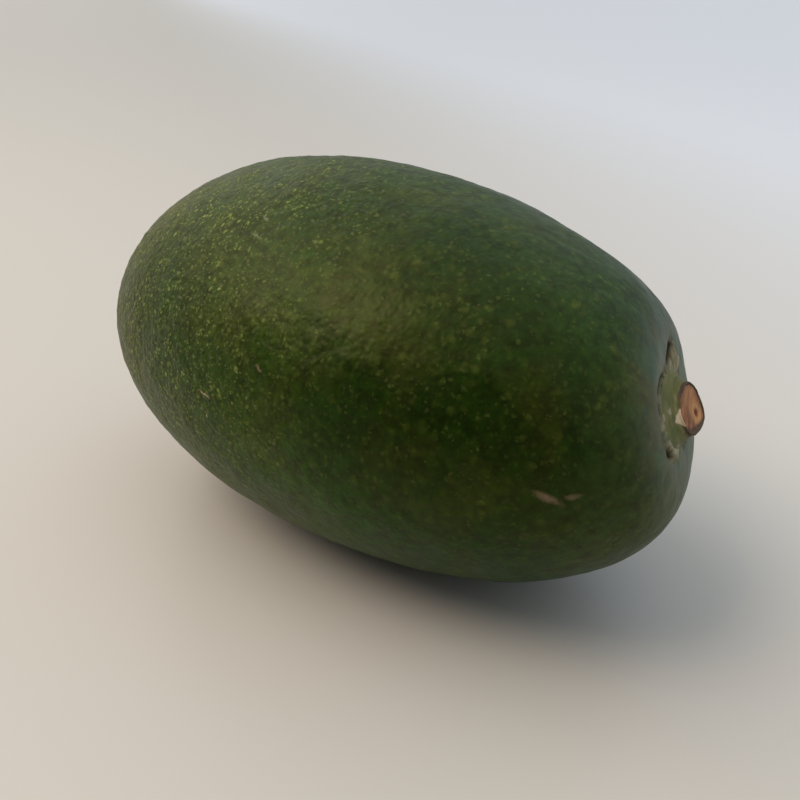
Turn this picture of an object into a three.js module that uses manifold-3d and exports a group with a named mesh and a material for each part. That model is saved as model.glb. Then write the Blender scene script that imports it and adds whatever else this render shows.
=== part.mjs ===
// A whole smooth-skinned green avocado lying on its side, with the cut stub of its stalk.
//
// Millimetres, +Z up. +X runs along the fruit from the blossom end to the stem end, and the
// small flat spot that it rests on lies in the plane z = 0. The fruit grows around a core line
// that curves up, and a little to one side, towards both ends, so that the stem is set obliquely
// on a blunt shoulder.

import * as THREE from "three";
import { mergeVertices } from "three/addons/utils/BufferGeometryUtils.js";
import Module from "manifold-3d";

// The fruit's body, measured along and around its core line from its widest section.
const BELLY_RADIUS = 36;
const WIDTH_OVER_HEIGHT = 1.047;
const BLOSSOM_END = 54.8;
const STEM_END = 61.1;

// Roundness of each half's outline: (along / length)^length + (radius / belly)^radius = 1.
const BLOSSOM_ROUNDNESS = { length: 2.0, radius: 2.68 };
const STEM_ROUNDNESS = { length: 1.93, radius: 3.2 };

// How far the core line has turned at its ends, up and to the +Y side.
const STEM_TURN_UP = THREE.MathUtils.degToRad(26.3);
const STEM_TURN_SIDE = THREE.MathUtils.degToRad(9.1);
const BLOSSOM_TURN_UP = THREE.MathUtils.degToRad(18.8);
const BLOSSOM_TURN_SIDE = THREE.MathUtils.degToRad(3.25);

// The shallow basin that the stem sits in.
const BASIN_DEPTH = 1.8;
const BASIN_RADIUS = 12.3;

// How it lies: the stem end leans down, and the skin is pressed flat where it rests.
const STEM_END_LEAN = THREE.MathUtils.degToRad(2.1);
const PRESSED_FLAT = 0.35;

// The stalk's stub, measured from the basin's floor along the stem.
const STEM_GAP = 0.3;
const STEM_FOOT_RADIUS = 6.9;
const STEM_FOOT_THICKNESS = 0.4;
const STEM_NECK_RADIUS = 4.1;
const STEM_NECK_HEIGHT = 2.4;
const STEM_CUT_HEIGHT = 2.9;
const STEM_CUT_TILT_UP = THREE.MathUtils.degToRad(6);
const STEM_CUT_TILT_SIDE = THREE.MathUtils.degToRad(11);

// How finely the surfaces are divided.
const FRUIT_SIDES = 64;
const FRUIT_ROWS = 44;
const STEM_SIDES = 32;
const STEM_FLARE_ROWS = 6;

const wasm = await Module();
wasm.setup();

function solidFrom(geometry) {
  geometry.deleteAttribute("normal");
  geometry.deleteAttribute("uv");
  const merged = mergeVertices(geometry, 1e-3);
  return new wasm.Manifold(
    new wasm.Mesh({
      numProp: 3,
      vertProperties: merged.getAttribute("position").array,
      triVerts: new Uint32Array(merged.getIndex().array),
    }),
  );
}

function geometryFrom(solid) {
  const mesh = solid.getMesh();
  const geometry = new THREE.BufferGeometry();
  geometry.setAttribute("position", new THREE.BufferAttribute(mesh.vertProperties, 3));
  geometry.setIndex(new THREE.BufferAttribute(mesh.triVerts, 1));
  geometry.computeVertexNormals();
  return geometry;
}

// A turned shape whose axis is +X. Its outline holds (radius, place along the axis).
function turned(outline, sides) {
  return new THREE.LatheGeometry(outline, sides).rotateZ(-Math.PI / 2);
}

// Where the skin of one half crosses a given radius, along the core line from the belly.
function alongAtRadius(radius, length, roundness) {
  const share = 1 - (radius / BELLY_RADIUS) ** roundness.radius;
  return length * share ** (1 / roundness.length);
}

// The same on the stem half, with the basin sunk into it.
function stemSkin(radius) {
  const basin = BASIN_DEPTH * Math.exp(-((radius / BASIN_RADIUS) ** 2));
  return alongAtRadius(radius, STEM_END, STEM_ROUNDNESS) - basin;
}

// The fruit's outline from the blossom end's tip to the basin's floor, in equal steps.
function fruitOutline() {
  const quarter = 24;
  const points = [];
  for (let i = 0; i <= quarter; i++) {
    const radius = BELLY_RADIUS * Math.sin((i / quarter) * (Math.PI / 2));
    points.push(new THREE.Vector2(radius, -alongAtRadius(radius, BLOSSOM_END, BLOSSOM_ROUNDNESS)));
  }
  for (let i = quarter - 1; i >= 0; i--) {
    const radius = BELLY_RADIUS * Math.sin((i / quarter) * (Math.PI / 2));
    points.push(new THREE.Vector2(radius, stemSkin(radius)));
  }
  return new THREE.SplineCurve(points).getSpacedPoints(FRUIT_ROWS);
}

// The core line at a place along the fruit: where it runs, and how far it has turned.
function coreLine(along) {
  const toStem = Math.max(along, 0) / STEM_END;
  const toBlossom = Math.max(-along, 0) / BLOSSOM_END;
  return {
    turnUp: STEM_TURN_UP * toStem ** 2 - BLOSSOM_TURN_UP * toBlossom ** 2,
    turnSide: STEM_TURN_SIDE * toStem ** 2 - BLOSSOM_TURN_SIDE * toBlossom ** 2,
    up: (STEM_TURN_UP * STEM_END * toStem ** 3 + BLOSSOM_TURN_UP * BLOSSOM_END * toBlossom ** 3) / 3,
    side: (STEM_TURN_SIDE * STEM_END * toStem ** 3 + BLOSSOM_TURN_SIDE * BLOSSOM_END * toBlossom ** 3) / 3,
  };
}

// Moves each section of a straight fruit onto the core line, square to it.
function bendToCoreLine(geometry) {
  const position = geometry.getAttribute("position");
  const p = new THREE.Vector3();
  for (let i = 0; i < position.count; i++) {
    p.fromBufferAttribute(position, i);
    const core = coreLine(p.x);
    position.setXYZ(
      i,
      p.x - p.z * Math.sin(core.turnUp) - p.y * Math.sin(core.turnSide),
      core.side + p.y * Math.cos(core.turnSide),
      core.up + p.z * Math.cos(core.turnUp),
    );
  }
  return geometry;
}

// The stub before its cut: a foot that follows the basin's floor, a concave flare and a neck.
function stemBlank() {
  const floor = stemSkin(0);
  const footEdge = stemSkin(STEM_FOOT_RADIUS) - floor + STEM_GAP;
  const flare = new THREE.QuadraticBezierCurve(
    new THREE.Vector2(STEM_FOOT_RADIUS, footEdge + STEM_FOOT_THICKNESS),
    new THREE.Vector2(STEM_NECK_RADIUS, footEdge + STEM_FOOT_THICKNESS),
    new THREE.Vector2(STEM_NECK_RADIUS, STEM_NECK_HEIGHT),
  );
  const blankHeight = STEM_CUT_HEIGHT + STEM_NECK_RADIUS;
  const outline = [
    new THREE.Vector2(0, STEM_GAP),
    new THREE.Vector2(STEM_FOOT_RADIUS / 2, stemSkin(STEM_FOOT_RADIUS / 2) - floor + STEM_GAP),
    new THREE.Vector2(STEM_FOOT_RADIUS, footEdge),
    ...flare.getPoints(STEM_FLARE_ROWS),
    new THREE.Vector2(STEM_NECK_RADIUS, blankHeight),
    new THREE.Vector2(0, blankHeight),
  ];
  return turned(outline, STEM_SIDES);
}

function fruit(restPose) {
  const straight = turned(fruitOutline(), FRUIT_SIDES).scale(1, WIDTH_OVER_HEIGHT, 1);
  const leaning = bendToCoreLine(straight).applyMatrix4(restPose);
  leaning.computeBoundingBox();
  const lowest = leaning.boundingBox.min.z;

  const block = new THREE.BoxGeometry(4 * BELLY_RADIUS, 4 * BELLY_RADIUS, BELLY_RADIUS);
  block.translate(0, 0, lowest + PRESSED_FLAT - BELLY_RADIUS / 2);
  const geometry = geometryFrom(solidFrom(leaning).subtract(solidFrom(block)));

  const skin = new THREE.MeshStandardMaterial({ color: 0x2f4220, roughness: 0.42, metalness: 0 });
  const mesh = new THREE.Mesh(geometry, skin);
  mesh.name = "fruit";
  return mesh;
}

function stem() {
  const cutter = new THREE.BoxGeometry(BELLY_RADIUS, BELLY_RADIUS, BELLY_RADIUS);
  cutter.translate(BELLY_RADIUS / 2, 0, 0);
  cutter.rotateY(-STEM_CUT_TILT_UP);
  cutter.rotateZ(-STEM_CUT_TILT_SIDE);
  cutter.translate(STEM_CUT_HEIGHT, 0, 0);
  const geometry = geometryFrom(solidFrom(stemBlank()).subtract(solidFrom(cutter)));

  const stalk = new THREE.MeshStandardMaterial({ color: 0x5d6136, roughness: 0.7, metalness: 0 });
  const mesh = new THREE.Mesh(geometry, stalk);
  mesh.name = "stem";
  return mesh;
}

// A seat at the basin's floor, its +X square to the floor, for what stands in the basin.
function basinSeat() {
  const core = coreLine(stemSkin(0));
  const seat = new THREE.Group();
  seat.position.set(stemSkin(0), core.side, core.up);
  seat.rotation.set(0, -core.turnUp, core.turnSide, "ZYX");
  return seat;
}

const lean = new THREE.Group();
lean.rotation.y = STEM_END_LEAN;
const seat = basinSeat();
seat.add(stem());
lean.add(seat);
lean.updateMatrix();

const avocado = new THREE.Group();
avocado.name = "avocado";
avocado.add(fruit(lean.matrix), lean);

// The origin is under the middle of the whole avocado, in the plane of the flat spot.
const bounds = new THREE.Box3().setFromObject(avocado, true);
const middle = bounds.getCenter(new THREE.Vector3());
for (const part of avocado.children) {
  part.position.set(-middle.x, -middle.y, -bounds.min.z);
}

export default avocado;
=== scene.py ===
import math

import bpy
import numpy as np
from mathutils import Matrix, Vector, noise


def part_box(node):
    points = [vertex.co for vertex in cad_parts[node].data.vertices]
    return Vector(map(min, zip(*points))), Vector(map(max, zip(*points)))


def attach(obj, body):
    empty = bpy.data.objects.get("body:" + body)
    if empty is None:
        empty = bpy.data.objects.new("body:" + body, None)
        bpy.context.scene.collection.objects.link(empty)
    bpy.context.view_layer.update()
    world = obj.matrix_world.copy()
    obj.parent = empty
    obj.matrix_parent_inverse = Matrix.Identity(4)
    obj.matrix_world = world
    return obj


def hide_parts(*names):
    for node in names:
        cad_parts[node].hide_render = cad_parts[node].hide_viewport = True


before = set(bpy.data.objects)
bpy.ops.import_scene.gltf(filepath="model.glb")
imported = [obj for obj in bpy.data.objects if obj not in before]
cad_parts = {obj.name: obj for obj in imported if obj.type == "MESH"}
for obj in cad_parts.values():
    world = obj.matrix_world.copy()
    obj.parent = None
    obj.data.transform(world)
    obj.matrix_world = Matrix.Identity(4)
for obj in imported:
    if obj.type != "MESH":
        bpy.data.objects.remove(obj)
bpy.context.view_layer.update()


# ---- The fruit ----------------------------------------------------------------------------
# A whole avocado of a large, smooth-skinned green kind. Skin and flesh are grown in one piece
# around a core line that curves up towards both ends. At the stem end the skin closes round
# the stalk in a low lip over a ring of flaky cork. Sizes are in millimetres.

BELLY_RADIUS = 36.0
WIDTH_OVER_HEIGHT = 1.047
BLOSSOM_END = 54.8
STEM_END = 61.1
# Exponents of each half's outline: (along / length)^first + (radius / belly)^second = 1.
BLOSSOM_ROUNDNESS = (2.0, 2.68)
STEM_ROUNDNESS = (1.93, 3.2)
# How far the core line has turned at its ends, up and to the +Y side.
STEM_TURN_UP = math.radians(26.3)
STEM_TURN_SIDE = math.radians(9.1)
BLOSSOM_TURN_UP = math.radians(18.8)
BLOSSOM_TURN_SIDE = math.radians(3.25)
BASIN_DEPTH = 1.8
BASIN_RADIUS = 12.3
STEM_END_LEAN = math.radians(2.1)
PRESSED_FLAT = 0.35

# How finely the skin is divided: points all round, and rows over the skin, over the collar
# round the stalk (between its two radii) and under the stalk.
SIDES = 400
SKIN_ROWS = 196
COLLAR_REACH = 12.0
COLLAR_INNER = 5.4
COLLAR_ROWS = 36
UNDER_STALK_ROWS = 5

# Gentle swellings and hollows: where along and around (0 is the +Y side, 90 the top), how
# high, and how far they reach.
SWELLINGS = [
    (3, 73, 0.41, 14), (45, 63, -0.52, 9), (57.5, 38, 0.28, 6), (-1.5, 221, -0.23, 11),
    (-39, 190, 0.39, 10), (58.5, 265, -0.29, 6), (45, 238, 0.21, 9), (59.2, 350, -0.41, 5),
    (59.3, 25, -0.3, 3.5), (-43, 140, 0.3, 0.6), (-42.2, 148.7, 0.25, 0.6), (6.5, 129, -0.3, 0.8),
    (9.2, 128, -0.3, 0.8),
]
# Unevenness of the skin: the size of its bumps, and their height at the blossom end and at
# the stem end. Each size takes its bumps from another stretch of the noise.
NOISE_STEP = 7.3
UNEVENNESS = [(26, 0.22, 0.22), (11, 0.11, 0.14), (4.6, 0.10, 0.09), (2.4, 0.10, 0.025)]

# The lip of skin round the stalk, and the cork inside it, all round: (degrees, size).
LIP_RADIUS = [(0, 7.0), (20, 7.2), (32, 7.6), (41, 9.2), (50, 11.0), (60, 11.2), (72, 9.4), (84, 8.1),
              (112, 8.0), (130, 9.2), (145, 10.2), (160, 10.0), (175, 10.1), (190, 10.6), (202, 10.5),
              (215, 9.7), (228, 8.4), (240, 7.2), (280, 7.0), (320, 7.0)]
LIP_HEIGHT = [(0, 0.1), (30, 0.0), (60, 0.0), (84, 0.15), (110, 0.2), (150, 0.15), (190, 0.12),
              (215, 0.1), (240, 0.2), (300, 0.2)]
FOOT_RADIUS = [(20, 6.0), (60, 6.0), (80, 6.0), (100, 6.5), (112, 7.0), (134, 8.2), (146, 9.0),
               (158, 9.2), (172, 9.0), (186, 8.7), (198, 8.6), (212, 7.8), (228, 6.6), (249, 6.0),
               (270, 5.9), (330, 5.8)]
CORK_LEVEL = [(0, 0.1), (25, 0.15), (46, 0.28), (58, 0.3), (72, 0.32), (90, 0.35), (140, 0.3),
              (164, 0.45), (200, 0.45), (218, 0.6), (234, 0.5), (248, 0.2), (300, 0.1)]
CORK_SHOWN = [(0, 0.6), (30, 0.8), (42, 1.0), (75, 1.0), (95, 0.6), (150, 0.45), (165, 0.55),
              (192, 0.55), (205, 0.75), (235, 0.7), (250, 0.5)]
FLAKINESS = [(0, 0.3), (30, 1.0), (60, 1.0), (75, 0.3), (100, 0.15), (190, 0.25), (205, 1.0),
             (240, 1.0), (255, 0.3)]
GAP_DEPTH = [(48, 0.0), (58, 1.1), (80, 1.2), (88, 0.1), (108, 0.0), (117, 1.05), (137, 1.05),
             (147, 0.05), (158, 0.7), (166, 0.0), (192, 0.0), (198, 1.2), (203, 1.0), (209, 0.0)]
GAP_WIDTH = [(0, 0.4), (50, 0.45), (64, 0.95), (80, 0.7), (92, 0.3), (114, 0.34), (148, 0.34),
             (158, 0.35), (190, 0.4), (200, 0.5), (214, 0.4)]
# How the lip rounds off inwards, how far out it fades, how much its edge wanders, and how
# high the flakes of cork stand.
LIP_ROUNDING = 0.7
LIP_FADE = 4.5
LIP_WANDER = 0.25
FLAKE_HEIGHT = 0.4
# The wax grows dull from the first of these radii inwards, and is dullest at the second.
DULL_FROM, DULL_FULL = 20, 8.5
# The style scar at the blossom end: its radius and depth, and the low ring round it.
STYLE_SCAR = 1.6
STYLE_SCAR_DEPTH = 0.5
STYLE_RING_RADIUS, STYLE_RING_WIDTH, STYLE_RING_HEIGHT = 2.3, 0.9, 0.3


def along_at_radius(radius, length, roundness):
    """Where the skin of one half crosses a radius, along the core line from the belly."""
    share = np.maximum(1 - (radius / BELLY_RADIUS) ** roundness[1], 0)
    return length * share ** (1 / roundness[0])


def stem_skin(radius):
    """The same on the stem half, with the basin sunk into it."""
    basin = BASIN_DEPTH * np.exp(-((radius / BASIN_RADIUS) ** 2))
    return along_at_radius(radius, STEM_END, STEM_ROUNDNESS) - basin


def core_line(along):
    """The core line's turn up and to the side, and its place up and to the side."""
    to_stem = np.maximum(along, 0) / STEM_END
    to_blossom = np.maximum(-along, 0) / BLOSSOM_END
    turns = ((STEM_TURN_UP, BLOSSOM_TURN_UP), (STEM_TURN_SIDE, BLOSSOM_TURN_SIDE))
    turned = [stem * to_stem**2 - blossom * to_blossom**2 for stem, blossom in turns]
    moved = [
        (stem * STEM_END * to_stem**3 + blossom * BLOSSOM_END * to_blossom**3) / 3
        for stem, blossom in turns
    ]
    return (*turned, *moved)


def skin_point(along, radius, angle):
    """A point of the smooth skin, bent onto the core line and leant as the fruit rests."""
    side = radius * np.cos(angle) * WIDTH_OVER_HEIGHT
    up = radius * np.sin(angle)
    turn_up, turn_side, core_up, core_side = core_line(along)
    x = along - up * np.sin(turn_up) - side * np.sin(turn_side)
    y = core_side + side * np.cos(turn_side)
    z = core_up + up * np.cos(turn_up)
    lean_cos, lean_sin = math.cos(STEM_END_LEAN), math.sin(STEM_END_LEAN)
    return np.stack([lean_cos * x + lean_sin * z, y, lean_cos * z - lean_sin * x], axis=-1)


def outward(surface):
    """The normals of a grid of points: rows along the fruit, columns around it."""
    along_step = np.gradient(surface, axis=0)
    around_step = np.roll(surface, -1, axis=1) - np.roll(surface, 1, axis=1)
    normal = np.cross(around_step, along_step)
    normal /= np.maximum(np.linalg.norm(normal, axis=-1, keepdims=True), 1e-9)
    for tip, beside in ((0, 1), (-1, -2)):
        mean = normal[beside].mean(axis=0)
        normal[tip] = mean / np.linalg.norm(mean)
    return normal


def ease(value, start, end):
    """0 at start, 1 at end and smooth between, whichever of the two is larger."""
    share = np.clip((value - start) / (end - start), 0, 1)
    return share * share * (3 - 2 * share)


def all_round(sizes, angle):
    """A size that changes smoothly all round, read at the angles given in radians."""
    at, size = zip(*sizes)
    degrees = np.arange(-360, 720)
    stepped = np.interp(degrees, at, size, period=360)
    window = np.hanning(19)
    smooth = np.convolve(stepped, window / window.sum(), mode="same")
    return np.interp(np.degrees(angle) % 360, degrees, smooth)


def noise_at(points, size, seed=0.0):
    """Noise from -1 to 1 at each point, with features of the given size."""
    flat = points.reshape(-1, 3) * (1.6 / size) + seed
    return np.array([noise.noise(Vector(p)) for p in flat]).reshape(points.shape[:-1])


def mesh_from_rows(name, rows, start_tip, end_tip):
    """A closed mesh from rings of points in metres, with a single point at each end."""
    count, sides = rows.shape[:2]
    points = np.concatenate([rows.reshape(-1, 3), [start_tip, end_tip]])
    here = np.arange(count * sides).reshape(count, sides)
    there = np.roll(here, -1, axis=1)
    quads = np.stack([here[:-1], there[:-1], there[1:], here[1:]], axis=-1).reshape(-1, 4)
    first, last = count * sides, count * sides + 1
    faces = quads.tolist()
    faces += [(first, b, a) for a, b in zip(here[0].tolist(), there[0].tolist())]
    faces += [(last, a, b) for a, b in zip(here[-1].tolist(), there[-1].tolist())]
    mesh = bpy.data.meshes.new(name)
    mesh.from_pydata(points.tolist(), [], faces)
    mesh.validate()
    mesh.shade_smooth()
    return mesh


def set_down(name, data):
    """Puts a mesh, lamp or camera in the scene under this name."""
    made = bpy.data.objects.new(name, data)
    bpy.context.scene.collection.objects.link(made)
    return made


# The outline from the blossom tip to the basin's floor, walked in even steps: wide over the
# skin, narrow over the collar round the stalk, and wide again under the stalk.
quarter = BELLY_RADIUS * np.sin(np.linspace(0, math.pi / 2, 600))
outline_radius = np.concatenate([quarter, quarter[-2::-1]])
outline_along = np.concatenate(
    [-along_at_radius(quarter, BLOSSOM_END, BLOSSOM_ROUNDNESS), stem_skin(quarter[-2::-1])]
)
steps = np.hypot(np.diff(outline_radius), np.diff(outline_along))
walked = np.concatenate([[0], np.cumsum(steps)])
row_at = walked[-1] - np.concatenate([
    np.linspace(walked[-1], COLLAR_REACH, SKIN_ROWS, endpoint=False),
    np.linspace(COLLAR_REACH, COLLAR_INNER, COLLAR_ROWS, endpoint=False),
    np.linspace(COLLAR_INNER, 0, UNDER_STALK_ROWS),
])
radius = np.interp(row_at, walked, outline_radius)[:, None]
along = np.interp(row_at, walked, outline_along)[:, None]
angle = np.arange(SIDES)[None, :] * (2 * math.pi / SIDES)
smooth_skin = skin_point(along, radius, angle)
normal = outward(smooth_skin)

relief = np.zeros(smooth_skin.shape[:2])
for at, around, height, reach in SWELLINGS:
    row = np.abs(outline_along - at).argmin()
    middle = skin_point(outline_along[row], outline_radius[row], math.radians(around))
    distance = np.linalg.norm(smooth_skin - middle, axis=-1)
    relief += height * np.exp(-0.5 * (distance / reach) ** 2)

to_stem = ease(along, -BLOSSOM_END, STEM_END)
for step, (size, at_blossom, at_stem) in enumerate(UNEVENNESS):
    height = at_blossom + (at_stem - at_blossom) * to_stem
    relief += height * noise_at(smooth_skin, size, NOISE_STEP * step)

# The collar: a lip of skin, then cork up to the stalk's foot, with a gap here and there
# between the two. The cork is drawn out in flakes that run away from the stalk.
on_stem_half = along > 0
rim = all_round(LIP_RADIUS, angle) + LIP_WANDER * noise_at(
    np.stack([3 * np.cos(angle), 3 * np.sin(angle), 0 * angle], axis=-1), 1.6
)
lip = all_round(LIP_HEIGHT, angle) * np.exp(-((np.maximum(radius - rim, 0) / LIP_FADE) ** 2))
inside = ease(radius, rim, rim - LIP_ROUNDING)
flake_at = np.stack(
    [9 * np.cos(angle) + 0 * radius, 9 * np.sin(angle) + 0 * radius, 0.3 * radius + 0 * angle], axis=-1
)
flakes = noise_at(flake_at, 1.5, 31.0) + 0.6 * noise_at(flake_at, 0.7, 47.0)
foot = all_round(FOOT_RADIUS, angle)
level = all_round(CORK_LEVEL, angle) + FLAKE_HEIGHT * all_round(FLAKINESS, angle) * flakes
cork = level * ease(radius, foot - 0.8, foot - 0.2)
gap_width = all_round(GAP_WIDTH, angle)
off_gap = radius - (rim - 0.3 - gap_width)
gap = all_round(GAP_DEPTH, angle) * np.exp(-((off_gap / gap_width) ** 2))
relief += np.where(on_stem_half, lip * (1 - inside) + cork * inside - gap, 0)
shown = all_round(CORK_SHOWN, angle) * ease(radius, rim + 0.4, rim - 0.6)
cork_share = np.where(on_stem_half, shown, 0)
# How dark the gaps are, partly painted shade: darker where the gap is deeper.
gap_darkness_and_shade = np.where(on_stem_half, np.clip(gap / 0.8, 0, 1) ** 0.8, 0)
flake_share = np.where(on_stem_half, np.clip(0.5 + 0.9 * flakes, 0, 1), 0.4)
haze_share = np.where(on_stem_half, ease(radius + 0 * angle, DULL_FROM, DULL_FULL), 0)

# The blossom end closes in a small corky scar where the style fell off.
scar_edge = np.exp(-((radius / STYLE_SCAR) ** 2))
scar_ring = np.exp(-(((radius - STYLE_RING_RADIUS) / STYLE_RING_WIDTH) ** 2))
scar_relief = STYLE_RING_HEIGHT * scar_ring - STYLE_SCAR_DEPTH * scar_edge
relief += np.where(on_stem_half, 0, scar_relief)
cork_share = np.maximum(cork_share, np.where(on_stem_half, 0, np.clip(1.4 * scar_edge, 0, 1)))

skin = smooth_skin + normal * relief[..., None]

# It stands where the CAD fruit stands, its underside pressed flat on the ground.
low, high = (np.array(corner) * 1000 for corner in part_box("fruit"))
smooth_low = smooth_skin.reshape(-1, 3).min(axis=0)
smooth_high = smooth_skin.reshape(-1, 3).max(axis=0)
stand = (low + high - smooth_low - smooth_high) / 2
stand[2] = -smooth_low[2] - PRESSED_FLAT
skin += stand
skin[..., 2] = np.maximum(skin[..., 2], 0)
skin /= 1000

fruit_mesh = mesh_from_rows("fruit", skin[1:-1], skin[0, 0], skin[-1, 0])
fruit = set_down("avocado_fruit", fruit_mesh)
skin_shares = {"cork": cork_share, "gap": gap_darkness_and_shade, "flake": flake_share, "haze": haze_share}
for name, share in skin_shares.items():
    layer = fruit_mesh.attributes.new(name, "FLOAT", "POINT")
    inner = np.broadcast_to(share, relief.shape)
    values = np.concatenate([inner[1:-1].ravel(), [inner[0, 0], inner[-1, 0]]])
    layer.data.foreach_set("value", values.astype(np.float32))

# Each row of faces is unrolled side by side, so that the skin lies flat without overlaps.
row_up = row_at / walked[-1]
unrolled = fruit_mesh.uv_layers.new(name="OFBake")
corner_point = np.zeros(len(fruit_mesh.loops), dtype=np.int32)
fruit_mesh.loops.foreach_get("vertex_index", corner_point)
ring_points = (len(row_at) - 2) * SIDES
column = corner_point % SIDES
row = corner_point // SIDES + 1
tip = corner_point >= ring_points
row[tip] = np.where(corner_point[tip] == ring_points, 0, len(row_at) - 1)
first_corner = np.zeros(len(fruit_mesh.polygons), dtype=np.int32)
corner_count = np.zeros(len(fruit_mesh.polygons), dtype=np.int32)
fruit_mesh.polygons.foreach_get("loop_start", first_corner)
fruit_mesh.polygons.foreach_get("loop_total", corner_count)
face_of = np.repeat(np.arange(len(first_corner)), corner_count)
masked = np.where(tip, -1, column)
low_column = np.full(len(first_corner), SIDES)
high_column = np.full(len(first_corner), -1)
np.minimum.at(low_column, face_of, np.where(tip, SIDES, column))
np.maximum.at(high_column, face_of, masked)
wraps = (high_column - low_column > SIDES / 2)[face_of]
column = np.where(wraps & (column == 0), SIDES, column).astype(float)
middle_column = np.where(high_column - low_column > SIDES / 2, SIDES - 0.5, low_column + 0.5)
column[tip] = middle_column[face_of][tip]
flat_map = np.stack([column / SIDES, row_up[row]], axis=-1)
unrolled.data.foreach_set("uv", flat_map.ravel().astype(np.float32))


def linear(hex_colour, alpha=1.0):
    """A colour written as #RRGGBB, as the linear colour that a shader takes."""
    shares = [int(hex_colour[i : i + 2], 16) / 255 for i in (1, 3, 5)]
    return (*[s / 12.92 if s <= 0.04045 else ((s + 0.055) / 1.055) ** 2.4 for s in shares], alpha)


def add(tree, kind, inputs=None, **settings):
    """Adds a node, with its settings, and a value or another node's output in each input."""
    made = tree.nodes.new("ShaderNode" + kind)
    for name, value in settings.items():
        setattr(made, name, value)
    for name, value in (inputs or {}).items():
        if isinstance(value, bpy.types.NodeSocket):
            tree.links.new(value, made.inputs[name])
        else:
            made.inputs[name].default_value = value
    return made


def bare_look(name):
    """A new material with no nodes in it yet, and its node tree."""
    look = bpy.data.materials.new(name)
    look.use_nodes = True
    look.node_tree.nodes.clear()
    return look, look.node_tree


def how_far_off(tree, place, middle, reach, turn=(0.0, 0.0, 0.0)):
    """How far a place is from a middle, as a share of how far the pattern reaches each way."""
    local = add(
        tree, "Mapping", {"Vector": place, "Location": middle, "Rotation": turn, "Scale": reach},
        vector_type="TEXTURE",
    )
    return add(tree, "VectorMath", {0: local.outputs[0]}, operation="LENGTH").outputs["Value"]


def per_mm(size):
    """The scale at which a texture's features are this many millimetres across."""
    return 1000 / size


# Waxy green skin. The wax gives a soft, low sheen; under it the green is clouded, and dotted
# with yellow-green breathing pores that are small and bright towards the blossom end and
# larger and fainter towards the stem. The greens run from the deepest to the most olive.
BLOSSOM_GREENS = ("#1E2F07", "#293808", "#38420E")
STEM_GREENS = ("#162E0B", "#1D350D", "#2B3B13")
# The deep green of the painted shade on the viewer's side.
PAINTED_SHADE_GREEN = "#0F2300"
TEAL_GREEN = "#1D3814"
UNDER_GREEN = "#0E3700"
SKIN_BROWNISH = "#3C380E"
STEM_END_BROWNISH = "#3A4214"
PORE = "#87934A"
PORE_FAINT = "#525A20"
PALE_POINT = "#A9AE78"
HEALED_SCAR = "#937863"
FRESH_SCRATCH = "#B09C84"
GREY_SCRATCH = "#8A8C6E"
# Painted shade in the two small pits.
DIMPLE_PAINTED_SHADE = "#1A3305"
NICK_GREEN = "#15280A"
PALE_SPOT = "#6F7A42"
BROWN_SPOT = "#4A3C20"
DRY_SPOT = "#B9BB80"
CORK_TAN = "#A59B7F"
CORK_BROWN = "#6B6345"
HAZE_TEAL = "#57746C"
HAZE_BROWN = "#74695A"
# Dark brown in the gaps round the cork, partly painted shade.
GAP_BROWN_AND_SHADE = "#24160C"
# The middle of the painted shade, a deep green on the viewer's side where the room gives
# little light, and how far it reaches each way, in metres.
PAINTED_SHADE_MIDDLE = (0.040, -0.028, 0.042)
PAINTED_SHADE_REACH = (0.046, 0.032, 0.026)
# Patches of painted shade over the green, which also shift its hue: where they are, in metres,
# how far each reaches, and the colour that the green is multiplied by in the middle. Most
# darken places that the room lights less; the one low on the viewer's side lightens the green.
SHADE_AND_TONE_PATCHES = [
    ((0.027, -0.017, 0.062), (0.030, 0.022, 0.018), (0.80, 0.78, 0.86, 1.0)),
    ((-0.010, -0.034, 0.044), (0.020, 0.016, 0.020), (0.70, 0.90, 1.0, 1.0)),
    ((-0.020, -0.026, 0.056), (0.020, 0.018, 0.016), (0.74, 0.82, 0.9, 1.0)),
    ((0.000, -0.036, 0.020), (0.045, 0.024, 0.026), (1.35, 1.4, 0.1, 1.0)),
    ((0.036, -0.034, 0.024), (0.030, 0.020, 0.020), (0.6, 0.84, 0.8, 1.0)),
    ((0.054, -0.021, 0.040), (0.020, 0.016, 0.020), (0.5, 0.74, 1.0, 1.0)),
    ((0.020, -0.034, 0.046), (0.034, 0.018, 0.020), (0.62, 0.82, 0.1, 1.0)),
    ((0.013, -0.018, 0.066), (0.028, 0.018, 0.014), (0.74, 0.86, 0.9, 1.0)),
]
# The least and greatest roughness of the wax, how rough bare cork is, how strongly the wax
# reflects, and the tint of its sheen.
WAX_ROUGHNESS = (0.37, 0.5)
CORK_ROUGHNESS = 0.85
WAX_IOR = 1.33
SHEEN_TINT = (0.86, 0.86, 0.34, 1.0)
# The fine relief of the skin: its height in metres, and the share in it of the pores, of the
# domes between them, and of the soft mottles at the blossom end and at the stem end.
RELIEF_HEIGHT = 0.00027
PORE_SHARE = 0.75
DOME_SHARE = -0.5
MOTTLE_SHARE = (0.85, 1.3)

skin_look, tree = bare_look("waxy_avocado_skin")
place = add(tree, "TexCoord").outputs["Object"]
xyz = add(tree, "SeparateXYZ", {"Vector": place})
stemward = add(
    tree, "MapRange", {"Value": xyz.outputs["X"], "From Min": -0.04, "From Max": 0.035},
    interpolation_type="SMOOTHSTEP",
).outputs["Result"]
off_blossom = add(
    tree, "MapRange", {"Value": xyz.outputs["X"], "From Min": -0.036, "From Max": 0.021},
    interpolation_type="SMOOTHSTEP",
).outputs["Result"]

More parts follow.
